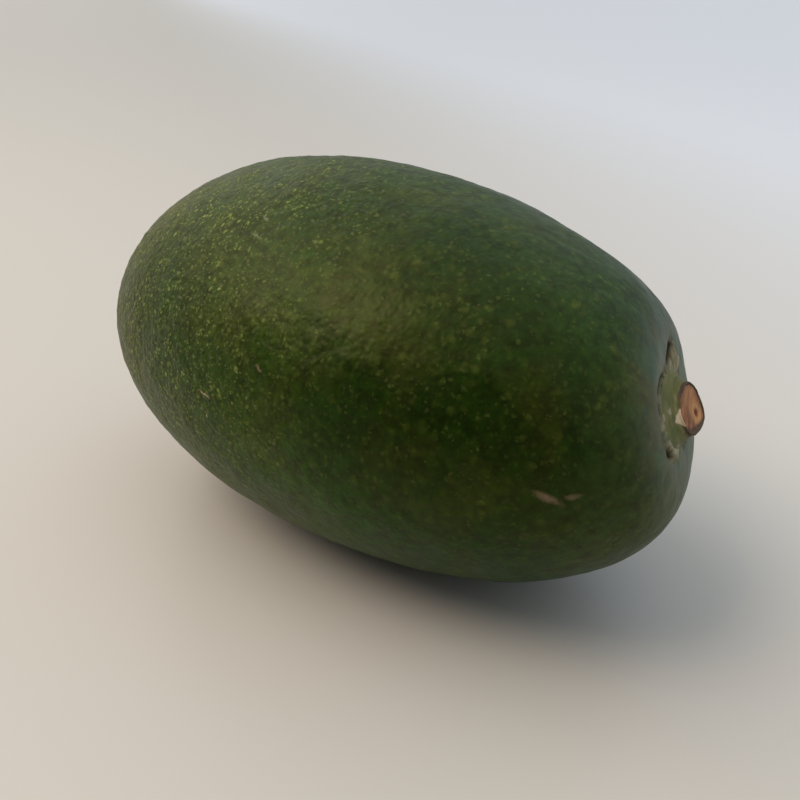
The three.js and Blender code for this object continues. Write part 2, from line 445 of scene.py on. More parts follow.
# A place shifted a little at random, so that what is drawn from it has soft, uneven edges.
wander = add(tree, "TexNoise", {"Vector": place, "Scale": per_mm(0.9), "Detail": 1.0})
centred = add(tree, "VectorMath", {0: wander.outputs["Color"], 1: (0.5, 0.5, 0.5)}, operation="SUBTRACT")
shift = add(tree, "VectorMath", {0: centred.outputs[0], "Scale": 0.0010}, operation="SCALE")
warped = add(tree, "VectorMath", {0: place, 1: shift.outputs[0]}, operation="ADD").outputs[0]

# The clouded green, with painted shade deepening it on the viewer's side, greener underneath
# and browner at the stem end.
clouds = add(tree, "TexNoise", {"Vector": place, "Scale": per_mm(24), "Detail": 4.0, "Roughness": 0.6})
greens = []
for deep, middle, olive in (BLOSSOM_GREENS, STEM_GREENS):
    green = add(tree, "ValToRGB", {"Fac": clouds.outputs["Fac"]})
    ramp = green.color_ramp
    ramp.elements[0].position, ramp.elements[0].color = 0.30, linear(deep)
    ramp.elements[1].position, ramp.elements[1].color = 0.72, linear(olive)
    ramp.elements.new(0.5).color = linear(middle)
    greens.append(green.outputs["Color"])
along_green = add(
    tree, "Mix", {0: stemward, 6: greens[0], 7: greens[1]}, data_type="RGBA"
).outputs[2]
# Painted shade: the green darkens towards a deep green on the viewer's side, where the room gives little
# light.
painted_shade_off = how_far_off(tree, place, PAINTED_SHADE_MIDDLE, PAINTED_SHADE_REACH)
painted_shade_share = add(
    tree, "MapRange", {"Value": painted_shade_off, "From Min": 1.0, "From Max": 0.3, "To Max": 0.95},
    interpolation_type="SMOOTHSTEP",
).outputs["Result"]
with_painted_shade = add(
    tree, "Mix", {0: painted_shade_share, 6: along_green, 7: linear(PAINTED_SHADE_GREEN)}, data_type="RGBA"
).outputs[2]
low_share = add(
    tree, "MapRange",
    {"Value": xyz.outputs["Z"], "From Min": 0.046, "From Max": 0.022, "To Max": 0.75},
    interpolation_type="SMOOTHSTEP",
).outputs["Result"]
under_share = add(tree, "Math", {0: low_share, 1: stemward}, operation="MULTIPLY").outputs[0]
undersided = add(
    tree, "Mix", {0: under_share, 6: with_painted_shade, 7: linear(UNDER_GREEN)}, data_type="RGBA"
).outputs[2]
stem_end_share = add(
    tree, "MapRange",
    {"Value": xyz.outputs["X"], "From Min": 0.046, "From Max": 0.056, "To Max": 0.6},
    interpolation_type="SMOOTHSTEP",
).outputs["Result"]
stem_ended = add(
    tree, "Mix", {0: stem_end_share, 6: undersided, 7: linear(STEM_END_BROWNISH)}, data_type="RGBA"
).outputs[2]

# Patches of painted shade and of tone, then teal and brownish clouds over them.
shade_and_tone_patched = stem_ended
for middle, reach, factor in SHADE_AND_TONE_PATCHES:
    patch_off = how_far_off(tree, place, middle, reach)
    patch_share = add(
        tree, "MapRange", {"Value": patch_off, "From Min": 1.0, "From Max": 0.2},
        interpolation_type="SMOOTHSTEP",
    ).outputs["Result"]
    shade_and_tone_patched = add(
        tree, "Mix", {0: patch_share, 6: shade_and_tone_patched, 7: factor}, data_type="RGBA", blend_type="MULTIPLY"
    ).outputs[2]
bloom = add(tree, "TexNoise", {"Vector": place, "Scale": per_mm(17), "Detail": 2.0, "Distortion": 0.4})
bloom_share = add(
    tree, "MapRange",
    {"Value": bloom.outputs["Fac"], "From Min": 0.5, "From Max": 0.68, "To Max": 0.6},
).outputs["Result"]
in_light = add(tree, "Math", {0: painted_shade_share, 1: -0.9, 2: 1.0}, operation="MULTIPLY_ADD").outputs[0]
bloom_lit = add(tree, "Math", {0: bloom_share, 1: in_light}, operation="MULTIPLY").outputs[0]
bloomed = add(
    tree, "Mix", {0: bloom_lit, 6: shade_and_tone_patched, 7: linear(TEAL_GREEN)}, data_type="RGBA"
).outputs[2]
veil = add(tree, "TexNoise", {"Vector": place, "Scale": per_mm(13), "Detail": 3.0})
veil_share = add(
    tree, "MapRange",
    {"Value": veil.outputs["Fac"], "From Min": 0.5, "From Max": 0.8, "To Max": 0.4},
).outputs["Result"]
veiled = add(
    tree, "Mix", {0: veil_share, 6: bloomed, 7: linear(SKIN_BROWNISH)}, data_type="RGBA"
).outputs[2]

# A fine grain, lighter and darker.
grain = add(tree, "TexNoise", {"Vector": place, "Scale": per_mm(2.0), "Detail": 3.0, "Roughness": 0.6})
grain_level = add(
    tree, "MapRange",
    {"Value": grain.outputs["Fac"], "From Min": 0.34, "From Max": 0.66, "To Min": 0.60, "To Max": 1.40},
).outputs["Result"]
grained = add(tree, "VectorMath", {0: veiled, "Scale": grain_level}, operation="SCALE").outputs[0]

# The pores, in four sizes: the cell each one lies in, its least and greatest reach as a
# share of the cell, how much of that reach is full, and how strong the strongest is at the
# blossom end and at the stem end. They crowd together in drifts.
PORE_SIZES = [
    (3.1, 0.20, 0.46, 0.1, 0.60, 0.50), (1.7, 0.25, 0.65, 0.1, 0.58, 0.42),
    (1.0, 0.25, 0.54, 0.3, 1.15, 0.15), (0.60, 0.25, 0.58, 0.3, 1.0, 0.03),
]
LARGE_PORE = 1.5
drift = add(tree, "TexNoise", {"Vector": place, "Scale": per_mm(6), "Detail": 3.0, "Roughness": 0.6})
crowd = add(
    tree, "MapRange",
    {"Value": drift.outputs["Fac"], "From Min": 0.36, "From Max": 0.62, "To Min": 0.3, "To Max": 1.0},
).outputs["Result"]
coloured = grained
pore_rise = None
for cell, least, greatest, firmness, at_blossom, at_stem in PORE_SIZES:
    cells = add(tree, "TexVoronoi", {"Vector": warped, "Scale": per_mm(cell)})
    chance = add(tree, "SeparateColor", {"Color": cells.outputs["Color"]})
    size = add(
        tree, "MapRange", {"Value": chance.outputs["Red"], "To Min": least, "To Max": greatest}
    ).outputs["Result"]
    core = add(tree, "Math", {0: size, 1: firmness}, operation="MULTIPLY").outputs[0]
    spot = add(
        tree, "MapRange", {"Value": cells.outputs["Distance"], "From Min": size, "From Max": core},
        interpolation_type="SMOOTHSTEP",
    ).outputs["Result"]
    fade = add(
        tree, "MapRange", {"Value": off_blossom, "To Min": at_blossom, "To Max": at_stem}
    ).outputs["Result"]
    strength = add(tree, "Math", {0: chance.outputs["Green"], 1: fade}, operation="MULTIPLY").outputs[0]
    crowded = add(tree, "Math", {0: strength, 1: crowd}, operation="MULTIPLY").outputs[0]
    share = add(tree, "Math", {0: spot, 1: crowded}, operation="MULTIPLY").outputs[0]
    tint = PORE_FAINT if cell > LARGE_PORE else PORE
    coloured = add(tree, "Mix", {0: share, 6: coloured, 7: linear(tint)}, data_type="RGBA").outputs[2]
    pore_rise = share if pore_rise is None else add(
        tree, "Math", {0: pore_rise, 1: share}, operation="ADD"
    ).outputs[0]

# A few pores have dried to tiny pale points.
point_cells = add(tree, "TexVoronoi", {"Vector": place, "Scale": per_mm(2.7)})
point_mix = add(tree, "SeparateColor", {"Color": point_cells.outputs["Color"]})
point_spot = add(
    tree, "MapRange",
    {"Value": point_cells.outputs["Distance"], "From Min": 0.12, "From Max": 0.03},
).outputs["Result"]
point_chosen = add(
    tree, "Math", {0: point_mix.outputs["Blue"], 1: 0.985}, operation="GREATER_THAN"
).outputs[0]
point_share = add(tree, "Math", {0: point_spot, 1: point_chosen}, operation="MULTIPLY").outputs[0]
pointed = add(
    tree, "Mix", {0: point_share, 6: coloured, 7: linear(PALE_POINT)}, data_type="RGBA"
).outputs[2]

# Marks on the skin: where along and around the fruit its middle is, how it is turned on the
# skin, its length and width, how strongly it shows, and its colour.
MARKS = [
    (49.0, 183.8, 54, 5.2, 1.7, 0.5, HEALED_SCAR), (51.8, 185.2, 85, 3.4, 1.0, 0.32, HEALED_SCAR),
    (-5.0, 174.0, 78, 3.2, 0.55, 0.8, FRESH_SCRATCH), (6.0, 161.1, 60, 1.8, 0.8, 0.5, HEALED_SCAR),
    (-6.5, 123.8, 70, 3.2, 0.8, 0.4, GREY_SCRATCH), (-5.6, 129.4, 80, 3.4, 0.8, 0.4, GREY_SCRATCH),
    # The two dimple marks are painted shade in the two small pits.
    (6.5, 128.9, 20, 1.9, 1.0, 0.9, DIMPLE_PAINTED_SHADE), (9.2, 128.2, 60, 2.2, 0.7, 0.9, DIMPLE_PAINTED_SHADE),
    (11.0, 147.6, 60, 2.2, 0.6, 0.7, NICK_GREEN), (17.0, 153.7, 0, 0.9, 0.8, 0.3, PALE_SPOT),
    (38.1, 175.5, 0, 1.3, 1.1, 0.35, BROWN_SPOT), (-4.7, 180.2, 0, 0.8, 0.6, 0.9, DRY_SPOT),
]
# How deep a mark reaches into the skin, in metres.
MARK_DEPTH = 0.002
colour = pointed
for at, around, twist, length, width, strength, tint in MARKS:
    row = np.abs(outline_along - at).argmin()
    at_angle = math.radians(around)
    here = skin_point(outline_along[row], outline_radius[row], at_angle)
    ahead = skin_point(outline_along[row + 4], outline_radius[row + 4], at_angle) - here
    beside = skin_point(outline_along[row], outline_radius[row], at_angle + 0.01) - here
    facing = Vector(np.cross(beside, ahead)).normalized()
    lengthwise = Matrix.Rotation(math.radians(twist), 3, facing) @ Vector(beside).normalized()
    mark_axes = Matrix((lengthwise, facing.cross(lengthwise), facing)).transposed()
    mark_reach = (length / 2000, width / 2000, MARK_DEPTH)
    off = how_far_off(
        tree, warped, tuple((here + stand) / 1000), mark_reach, tuple(mark_axes.to_euler())
    )
    share = add(
        tree, "MapRange", {"Value": off, "From Min": 1.15, "From Max": 0.1, "To Max": strength},
        interpolation_type="SMOOTHSTEP",
    ).outputs["Result"]
    colour = add(tree, "Mix", {0: share, 6: colour, 7: linear(tint)}, data_type="RGBA").outputs[2]

# Dull wax round the stalk, dry cork close to it and on the style scar, and dark brown in the
# gaps, partly painted shade.
haze_here = add(tree, "Attribute", attribute_name="haze").outputs["Fac"]
haze_noise = add(
    tree, "MapRange",
    {"Value": clouds.outputs["Fac"], "From Min": 0.3, "From Max": 0.7, "To Min": 0.15, "To Max": 0.5},
).outputs["Result"]
haze_mixed = add(tree, "Math", {0: haze_here, 1: haze_noise}, operation="MULTIPLY").outputs[0]
haze_drift = add(tree, "TexNoise", {"Vector": place, "Scale": per_mm(5), "Detail": 3.0, "Roughness": 0.6})
haze_turn = add(
    tree, "MapRange", {"Value": haze_drift.outputs["Fac"], "From Min": 0.42, "From Max": 0.6},
).outputs["Result"]
haze_colour = add(
    tree, "Mix", {0: haze_turn, 6: linear(HAZE_TEAL), 7: linear(HAZE_BROWN)}, data_type="RGBA"
).outputs[2]
colour = add(tree, "Mix", {0: haze_mixed, 6: colour, 7: haze_colour}, data_type="RGBA").outputs[2]
cork_here = add(tree, "Attribute", attribute_name="cork").outputs["Fac"]
gap_shade_at_point = add(tree, "Attribute", attribute_name="gap").outputs["Fac"]
flake_here = add(tree, "Attribute", attribute_name="flake").outputs["Fac"]
cork_noise = add(tree, "TexNoise", {"Vector": place, "Scale": per_mm(1.1), "Detail": 4.0, "Roughness": 0.65})
cork_mixed = add(
    tree, "Mix", {0: 0.4, 2: flake_here, 3: cork_noise.outputs["Fac"]}, data_type="FLOAT"
).outputs[0]
cork_colour = add(tree, "ValToRGB", {"Fac": cork_mixed})
ramp = cork_colour.color_ramp
ramp.elements[0].position, ramp.elements[0].color = 0.25, linear(CORK_BROWN)
ramp.elements[1].position, ramp.elements[1].color = 0.7, linear(CORK_TAN)
corked = add(
    tree, "Mix", {0: cork_here, 6: colour, 7: cork_colour.outputs["Color"]}, data_type="RGBA"
).outputs[2]
finished = add(tree, "Mix", {0: gap_shade_at_point, 6: corked, 7: linear(GAP_BROWN_AND_SHADE)}, data_type="RGBA").outputs[2]

# The finest relief: soft mottles, low domes between the pores, and the pores' own rise. It is
# calmer towards the stem end.
mottles = add(
    tree, "TexNoise", {"Vector": place, "Scale": per_mm(1.5), "Detail": 1.0, "Roughness": 0.4}
).outputs["Fac"]
domes = add(
    tree, "TexVoronoi", {"Vector": place, "Scale": per_mm(0.9), "Smoothness": 0.7}, feature="SMOOTH_F1"
).outputs["Distance"]
mottle_height = add(
    tree, "MapRange", {"Value": off_blossom, "To Min": MOTTLE_SHARE[0], "To Max": MOTTLE_SHARE[1]}
).outputs["Result"]
mottled = add(tree, "Math", {0: mottles, 1: mottle_height}, operation="MULTIPLY").outputs[0]
domed = add(tree, "Math", {0: domes, 1: DOME_SHARE, 2: mottled}, operation="MULTIPLY_ADD").outputs[0]
relief_mix = add(tree, "Math", {0: pore_rise, 1: PORE_SHARE, 2: domed}, operation="MULTIPLY_ADD").outputs[0]
bump_fade = add(
    tree, "MapRange", {"Value": stemward, "To Min": 0.95, "To Max": 0.3}
).outputs["Result"]
calm_near_stalk = add(tree, "Math", {0: haze_here, 1: -0.7, 2: 1.0}, operation="MULTIPLY_ADD").outputs[0]
bump_share = add(tree, "Math", {0: bump_fade, 1: calm_near_stalk}, operation="MULTIPLY").outputs[0]
bump = add(tree, "Bump", {"Strength": bump_share, "Distance": RELIEF_HEIGHT, "Height": relief_mix})

# The sheen, a little rougher here and there, and gone on cork.
gloss_noise = add(tree, "TexNoise", {"Vector": warped, "Scale": per_mm(6), "Detail": 3.0})
gloss = add(
    tree, "MapRange",
    {"Value": gloss_noise.outputs["Fac"], "From Min": 0.3, "From Max": 0.7,
     "To Min": WAX_ROUGHNESS[0], "To Max": WAX_ROUGHNESS[1]},
).outputs["Result"]
gloss_all = add(tree, "Mix", {0: cork_here, 2: gloss, 3: CORK_ROUGHNESS}, data_type="FLOAT").outputs[0]
surface = add(
    tree, "BsdfPrincipled",
    {"Base Color": finished, "Roughness": gloss_all, "IOR": WAX_IOR,
     "Specular Tint": SHEEN_TINT, "Normal": bump.outputs[0]},
)
add(tree, "OutputMaterial", {"Surface": surface.outputs[0]})
fruit_mesh.materials.append(skin_look)
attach(fruit, "root")
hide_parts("fruit")


# ---- The stalk ----------------------------------------------------------------------------
# The cut stub of the fruit's stalk: green bark over wood, flared where it grows out of the
# fruit. It was cut across with a blade, at a slant, and the wood has browned and shrunk back
# from a dark, hard rim of bark. It sits in the basin, free of the skin all round.

# The radius of the cut, all round: (degrees, size).
CUT_RADIUS = [(0, 3.2), (31, 3.4), (68, 4.0), (100, 3.95), (147, 3.9), (172, 4.05), (211, 4.6),
              (231, 4.75), (254, 4.4), (287, 4.25), (309, 4.2), (328, 3.8), (353, 3.25)]
# The foot: its gap to the skin, its thickness, how far its underside stays in from its edge,
# and how its lower edge is tucked in and rounded. The flare ends at a share of the height.
FOOT_LIFT = 0.12
FOOT_THICKNESS = 0.2
FOOT_UNDERCUT = 0.35
FOOT_TUCK = 0.2
FOOT_ROUNDING = 0.3
FLARE_SHARE = 0.85
FLARE_CURVE = 1.5
# The bark's swellings, large and small, and how much the rim wobbles.
BARK_SWELLS = (0.20, 0.08)
RIM_WOBBLE = 0.10
CUT_HEIGHT = 2.9
CUT_SLOPE_SIDE = 0.195
CUT_SLOPE_UP = -0.107
RIM_WIDTH = [(0, 0.22), (60, 0.35), (95, 0.8), (125, 0.65), (145, 0.25), (205, 0.2), (222, 0.6),
             (255, 0.8), (290, 0.5), (310, 0.25)]
RIM_HEIGHT = 0.1
WOOD_SUNK = 0.1
GRAIN_TURN = math.radians(-45)
GRAIN_HEIGHT = 0.10
PITH_SIDE, PITH_UP = 0.85, -1.6
PITH_REACH = 0.55
PITH_DEPTH = 0.25
# How far down the bark, and in over the wood, the dried edge is dark; part of it is painted shade.
EDGE_DOWN = [(0, 0.4), (75, 0.25), (100, 0.2), (140, 0.22), (160, 0.25), (207, 0.3), (220, 0.6),
             (255, 0.7), (290, 0.4)]
# How dark the edge is all round; its weaker stretch, about 140 to 165 degrees, is painted shade.
EDGE_DARK_AND_SHADE = [(0, 0.85), (90, 1.0), (125, 1.0), (142, 0.5), (163, 0.5), (207, 0.85), (300, 0.9)]
EDGE_IN = [(0, 0.15), (90, 0.4), (150, 0.3), (200, 0.3), (225, 0.9), (265, 1.0), (300, 0.3)]
# A chip of bark came off with the blade: its start, lowest place and end, and how far down.
CHIP_FROM, CHIP_LOWEST, CHIP_TO = 160, 181, 202
CHIP_DOWN = 0.72
# Patches on the bark, in degrees and millimetres from the middle, with their size.
TAN_PATCHES = [(166, 8.8, 0.8), (162, 6.5, 0.7), (222, 7.2, 1.0)]
FRESH_PATCHES = [(190, 7.0, 1.5), (200, 7.6, 1.0)]
# How finely the stalk is divided.
STALK_SIDES = 192
UNDER_ROWS = 5
BARK_ROWS = 60
RIM_ROWS = 14
WOOD_ROWS = 34

around = np.arange(STALK_SIDES)[None, :] * (2 * math.pi / STALK_SIDES)
ring = np.stack([np.cos(around), np.sin(around), 0 * around], axis=-1)
foot_radius = all_round(FOOT_RADIUS, around)
cut_radius = all_round(CUT_RADIUS, around)
floor_rise = stem_skin(foot_radius) - stem_skin(0.0)


def cut_level(side, up):
    """How high the slanting cut is above the basin's floor."""
    return CUT_HEIGHT + CUT_SLOPE_SIDE * side + CUT_SLOPE_UP * up


def stalk_points(height, out):
    """Points at a height along the stalk and a distance out from its middle."""
    return np.stack([height + 0 * out, out * np.cos(around), out * np.sin(around)], axis=-1)


# The underside follows the basin's floor; the bark runs from the foot up to the cut.
under_out = np.linspace(0, 1, UNDER_ROWS + 1)[1:, None] * (foot_radius - FOOT_UNDERCUT)
under = stalk_points(stem_skin(under_out) - stem_skin(0.0) + FOOT_LIFT, under_out)
foot_level = floor_rise + FOOT_LIFT
edge_level = cut_level(cut_radius * np.cos(around), cut_radius * np.sin(around))
share = np.linspace(0, 1, BARK_ROWS)[:, None]
bark_level = foot_level + share * (edge_level - foot_level)
flare_height = FLARE_SHARE * (edge_level - foot_level)
flare = np.clip((bark_level - foot_level - FOOT_THICKNESS) / flare_height, 0, 1)
bark_out = cut_radius - RIM_HEIGHT + (foot_radius - cut_radius + RIM_HEIGHT) * (1 - flare) ** FLARE_CURVE
bark_out = bark_out - FOOT_TUCK * (1 - ease(bark_level, foot_level, foot_level + FOOT_ROUNDING))
bark_at = np.stack([np.cos(around) + 0 * share, np.sin(around) + 0 * share, 0.1 * bark_level], axis=-1)
swell = BARK_SWELLS[0] * noise_at(2.2 * bark_at, 1.6) + BARK_SWELLS[1] * noise_at(5.5 * bark_at, 1.6, 5.0)
bark_out = bark_out + swell * ease(share, 0.05, 0.4) + RIM_HEIGHT * ease(share, 0.86, 0.97)
bark = stalk_points(bark_level, bark_out)

# The rim rolls over onto the cut, and the wood lies a little below it.
edge_out = bark_out[-1:]
roll = np.linspace(0, 1, RIM_ROWS + 1)[1:, None]
rim_out = edge_out - all_round(RIM_WIDTH, around) * roll
rim_wobble = RIM_WOBBLE * noise_at(2.6 * ring, 1.3, 9.0) * (1 - roll)
rolled_up = RIM_HEIGHT * np.sin(np.minimum(roll * 1.9, 1) * math.pi / 2)
rim_level = rolled_up - (WOOD_SUNK + RIM_HEIGHT) * ease(roll, 0.55, 1.0)
rim_rows = stalk_points(
    cut_level(rim_out * np.cos(around), rim_out * np.sin(around)) + rim_level + rim_wobble, rim_out
)
inward = np.linspace(1, 0.0, WOOD_ROWS + 1)[1:-1, None]
wood_out = rim_out[-1:] * inward
wood_side, wood_up = wood_out * np.cos(around), wood_out * np.sin(around)
across_grain = wood_side * math.cos(GRAIN_TURN) + wood_up * math.sin(GRAIN_TURN)
along_grain = wood_up * math.cos(GRAIN_TURN) - wood_side * math.sin(GRAIN_TURN)
grain_at = np.stack([across_grain * 2.2, along_grain * 0.35, 0 * wood_side], axis=-1)
grain_relief = GRAIN_HEIGHT * noise_at(grain_at, 1.6, 3.0)
pith_off = np.hypot(wood_side - PITH_SIDE, (wood_up - PITH_UP) * 0.8)
pith_hollow = PITH_DEPTH * np.exp(-((pith_off / PITH_REACH) ** 2))
wood_level = cut_level(wood_side, wood_up) - WOOD_SUNK + grain_relief - pith_hollow
wood = stalk_points(wood_level, wood_out)

rows = np.concatenate([under, bark, rim_rows, wood])

# Shares of each look, for every point: the dark dried edge, partly painted shade, the chip,
# tan and fresh green.
# They go by how far down from the cut a point is, and how far in over the wood.
FAR_DOWN = 9.0
rows_to_wood = len(under) + BARK_ROWS + RIM_ROWS
ragged = noise_at(rows, 0.9, 12.0)
down = np.concatenate(
    [np.full(under.shape[:2], FAR_DOWN), edge_level - bark_level, 0 * rim_out, 0 * wood_out]
)
down = down + 0.12 * ragged
inward_off = np.concatenate([np.zeros((rows_to_wood, STALK_SIDES)), rim_out[-1:] - wood_out])
edge_down, edge_in = all_round(EDGE_DOWN, around), all_round(EDGE_IN, around)
edge_dark_and_shade = ease(down, 1.3 * edge_down, 0.5 * edge_down) * ease(inward_off + 0.2 * ragged, edge_in, 0)
edge_dark_and_shade = edge_dark_and_shade * all_round(EDGE_DARK_AND_SHADE, around)
round_stalk = np.degrees(around)
chip_down = CHIP_DOWN * np.interp(round_stalk, [CHIP_FROM, CHIP_LOWEST, CHIP_TO], [0, 1, 0])
chip_round = round_stalk + 3 * ragged
chip_share = ease(down, chip_down + 0.1, chip_down - 0.1) * ease(chip_round, CHIP_FROM, CHIP_FROM + 3)
chip_share = chip_share * ease(chip_round, CHIP_TO, CHIP_TO - 4) * (inward_off < 0.05)


def patches(spots):
    """How much of any of the patches there is at each point of the stalk."""
    share = np.zeros(rows.shape[:2])
    for degrees, out, size in spots:
        side, up = out * math.cos(math.radians(degrees)), out * math.sin(math.radians(degrees))
        off = np.hypot(rows[..., 1] - side, rows[..., 2] - up) + 0.25 * ragged
        share = np.maximum(share, ease(off, size, 0.4 * size))
    return share


looks_of = {
    "dried_edge_and_shade": edge_dark_and_shade, "chip": chip_share, "tan": patches(TAN_PATCHES), "fresh": patches(FRESH_PATCHES),
}
start_tip = np.array([FOOT_LIFT, 0, 0])
end_tip = np.array([float(wood_level[-1].mean()), 0, 0])

# The stalk is made upright at the origin, and then set square on the basin's floor.
turn_up, turn_side, core_up, core_side = (float(v) for v in core_line(stem_skin(0.0)))
seat = (
    Matrix.Translation(stand)
    @ Matrix.Rotation(STEM_END_LEAN, 4, "Y")
    @ Matrix.Translation((float(stem_skin(0.0)), core_side, core_up))
    @ Matrix.Rotation(turn_side, 4, "Z")
    @ Matrix.Rotation(-turn_up, 4, "Y")
)
turn = np.array(seat.to_3x3())
place_at = np.array(seat.translation)
rows = (rows @ turn.T + place_at) / 1000
start_tip = (turn @ start_tip + place_at) / 1000
end_tip = (turn @ end_tip + place_at) / 1000
stalk_mesh = mesh_from_rows("stalk", rows, start_tip, end_tip)
stalk = set_down("avocado_stalk", stalk_mesh)
for name, share in looks_of.items():
    layer = stalk_mesh.attributes.new(name, "FLOAT", "POINT")
    values = np.concatenate([share.ravel(), [share[0].mean(), share[-1].mean()]])
    layer.data.foreach_set("value", values.astype(np.float32))

# Green stalk bark. It is dull, streaked with olive and with pale dry scurf, and it has browned
# hard where it was cut; on one stretch that dark band is painted shade between bark and wood.
# Pale dry wood shows where the chip came off.
BARK_GREEN = "#4A4F18"
BARK_OLIVE = "#6E6932"
BARK_PALE = "#8F8660"
BARK_FRESH = "#4E5A14"
BARK_TAN = "#968B6C"
BARK_BROWN = "#48331F"
CHIP_PALE = "#CDB593"


def place_on_stalk(tree):
    """The place on the stalk as it was made, upright, before it was set in the basin."""
    place = add(tree, "TexCoord").outputs["Object"]
    return add(
        tree, "Mapping",
        {"Vector": place, "Location": tuple(place_at / 1000), "Rotation": tuple(seat.to_euler())},
        vector_type="TEXTURE",
    ).outputs[0]


bark_look, tree = bare_look("green_stalk_bark")
local = place_on_stalk(tree)
off_axis = add(tree, "VectorMath", {0: local, 1: (0.0, 1.0, 1.0)}, operation="MULTIPLY").outputs[0]
from_axis = add(tree, "VectorMath", {0: off_axis}, operation="LENGTH").outputs["Value"]
parts = add(tree, "SeparateXYZ", {"Vector": local})
drawn_out = add(tree, "Math", {0: parts.outputs["Z"], 1: 0.4}, operation="MULTIPLY").outputs[0]
streak_place = add(
    tree, "CombineXYZ", {"X": parts.outputs["X"], "Y": from_axis, "Z": drawn_out}
).outputs[0]
streaks = add(
    tree, "TexNoise", {"Vector": streak_place, "Scale": per_mm(1.5), "Detail": 4.0, "Roughness": 0.65}
)
streaked = add(tree, "ValToRGB", {"Fac": streaks.outputs["Fac"]})
ramp = streaked.color_ramp
ramp.elements[0].position, ramp.elements[0].color = 0.38, linear(BARK_GREEN)
ramp.elements[1].position, ramp.elements[1].color = 0.6, linear(BARK_OLIVE)
ramp.elements.new(0.74).color = linear(BARK_PALE)
bark_colour = streaked.outputs["Color"]
for name, tint in (("fresh", BARK_FRESH), ("tan", BARK_TAN), ("dried_edge_and_shade", BARK_BROWN), ("chip", CHIP_PALE)):
    here = add(tree, "Attribute", attribute_name=name).outputs["Fac"]
    bark_colour = add(tree, "Mix", {0: here, 6: bark_colour, 7: linear(tint)}, data_type="RGBA").outputs[2]
bark_bump = add(tree, "Bump", {"Strength": 0.6, "Distance": 0.0002, "Height": streaks.outputs["Fac"]})
surface = add(
    tree, "BsdfPrincipled",
    {"Base Color": bark_colour, "Roughness": 0.62, "IOR": 1.45, "Normal": bark_bump.outputs[0]},
)
add(tree, "OutputMaterial", {"Surface": surface.outputs[0]})

# Cut wood that has browned in the air. It is matt, with darker and lighter fibres that slant
# across it, honey-coloured round the red-brown pith, and dried dark by the rim, with some
# painted shade there.
WOOD_BROWN = "#915E3C"
WOOD_DARK = "#70452C"
WOOD_LIGHT = "#B48050"
WOOD_HONEY = "#D09C60"
WOOD_DRIED = "#4A3228"
PITH_RED = "#70281A"
# How far the pith reaches along, across and up the stalk, in metres.
PITH_SIZE = (0.01, 0.0006, 0.0008)
wood_look, tree = bare_look("browned_cut_wood")
local = place_on_stalk(tree)
grain_place = add(
    tree, "Mapping", {"Vector": local, "Rotation": (GRAIN_TURN, 0, 0), "Scale": (1, 1, 4.5)},
    vector_type="TEXTURE",
).outputs[0]
fibres = add(tree, "TexNoise", {"Vector": grain_place, "Scale": per_mm(0.9), "Detail": 4.0, "Roughness": 0.6})
grained = add(tree, "ValToRGB", {"Fac": fibres.outputs["Fac"]})
ramp = grained.color_ramp
ramp.elements[0].position, ramp.elements[0].color = 0.34, linear(WOOD_DARK)
ramp.elements[1].position, ramp.elements[1].color = 0.68, linear(WOOD_LIGHT)
ramp.elements.new(0.5).color = linear(WOOD_BROWN)
pith_at = (CUT_HEIGHT / 1000, PITH_SIDE / 1000, PITH_UP / 1000)
pith_off = how_far_off(tree, local, pith_at, PITH_SIZE)
pith_share = add(
    tree, "MapRange", {"Value": pith_off, "From Min": 1.4, "From Max": 0.5, "To Max": 0.9},
    interpolation_type="SMOOTHSTEP",
).outputs["Result"]
honey_share = add(
    tree, "MapRange", {"Value": pith_off, "From Min": 4.0, "From Max": 1.2, "To Max": 0.6},
    interpolation_type="SMOOTHSTEP",
).outputs["Result"]
honeyed = add(
    tree, "Mix", {0: honey_share, 6: grained.outputs["Color"], 7: linear(WOOD_HONEY)}, data_type="RGBA"
).outputs[2]
pithed = add(tree, "Mix", {0: pith_share, 6: honeyed, 7: linear(PITH_RED)}, data_type="RGBA").outputs[2]
dried_edge_and_shade = add(tree, "Attribute", attribute_name="dried_edge_and_shade").outputs["Fac"]
wood_colour = add(tree, "Mix", {0: dried_edge_and_shade, 6: pithed, 7: linear(WOOD_DRIED)}, data_type="RGBA").outputs[2]
wood_bump = add(tree, "Bump", {"Strength": 0.5, "Distance": 0.00015, "Height": fibres.outputs["Fac"]})
surface = add(
    tree, "BsdfPrincipled",
    {"Base Color": wood_colour, "Roughness": 0.72, "IOR": 1.45, "Normal": wood_bump.outputs[0]},
)
add(tree, "OutputMaterial", {"Surface": surface.outputs[0]})

# Bark up to the rim, and wood inside it.
stalk_mesh.materials.append(bark_look)
stalk_mesh.materials.append(wood_look)
quad_rows = np.repeat(np.arange(len(rows) - 1), STALK_SIDES)
wood_from = rows_to_wood - 2
looks = np.zeros(len(stalk_mesh.polygons), dtype=np.int32)
looks[: len(quad_rows)] = quad_rows >= wood_from
looks[-STALK_SIDES:] = 1
stalk_mesh.polygons.foreach_set("material_index", looks)
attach(stalk, "root")
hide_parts("stem")


# ---- Floor, light and camera --------------------------------------------------------------
# A pale floor, with painted shade near and painted light far away, in a pale room that is dark
# on the viewer's side. Broad soft daylight from the left and overhead and a small warm lamp on
# the upper left light it, and a cool window on the left shows only as a reflection.

# A pale table top with a satin surface: darker and warmer near in painted shade, lighter and
# cooler far away in painted light.
FLOOR_NEAR_PAINTED_SHADE = "#BDB8AE"
FLOOR_FAR_PAINTED_LIGHT = "#D9DBDE"
FLOOR_REACH = 30.0
# Just under the ground, so that the fruit's flat spot isn't in its plane.
FLOOR_DROP = 0.0001
TOWARDS_FAR_WALL = (0.59, 0.81, 0.0)

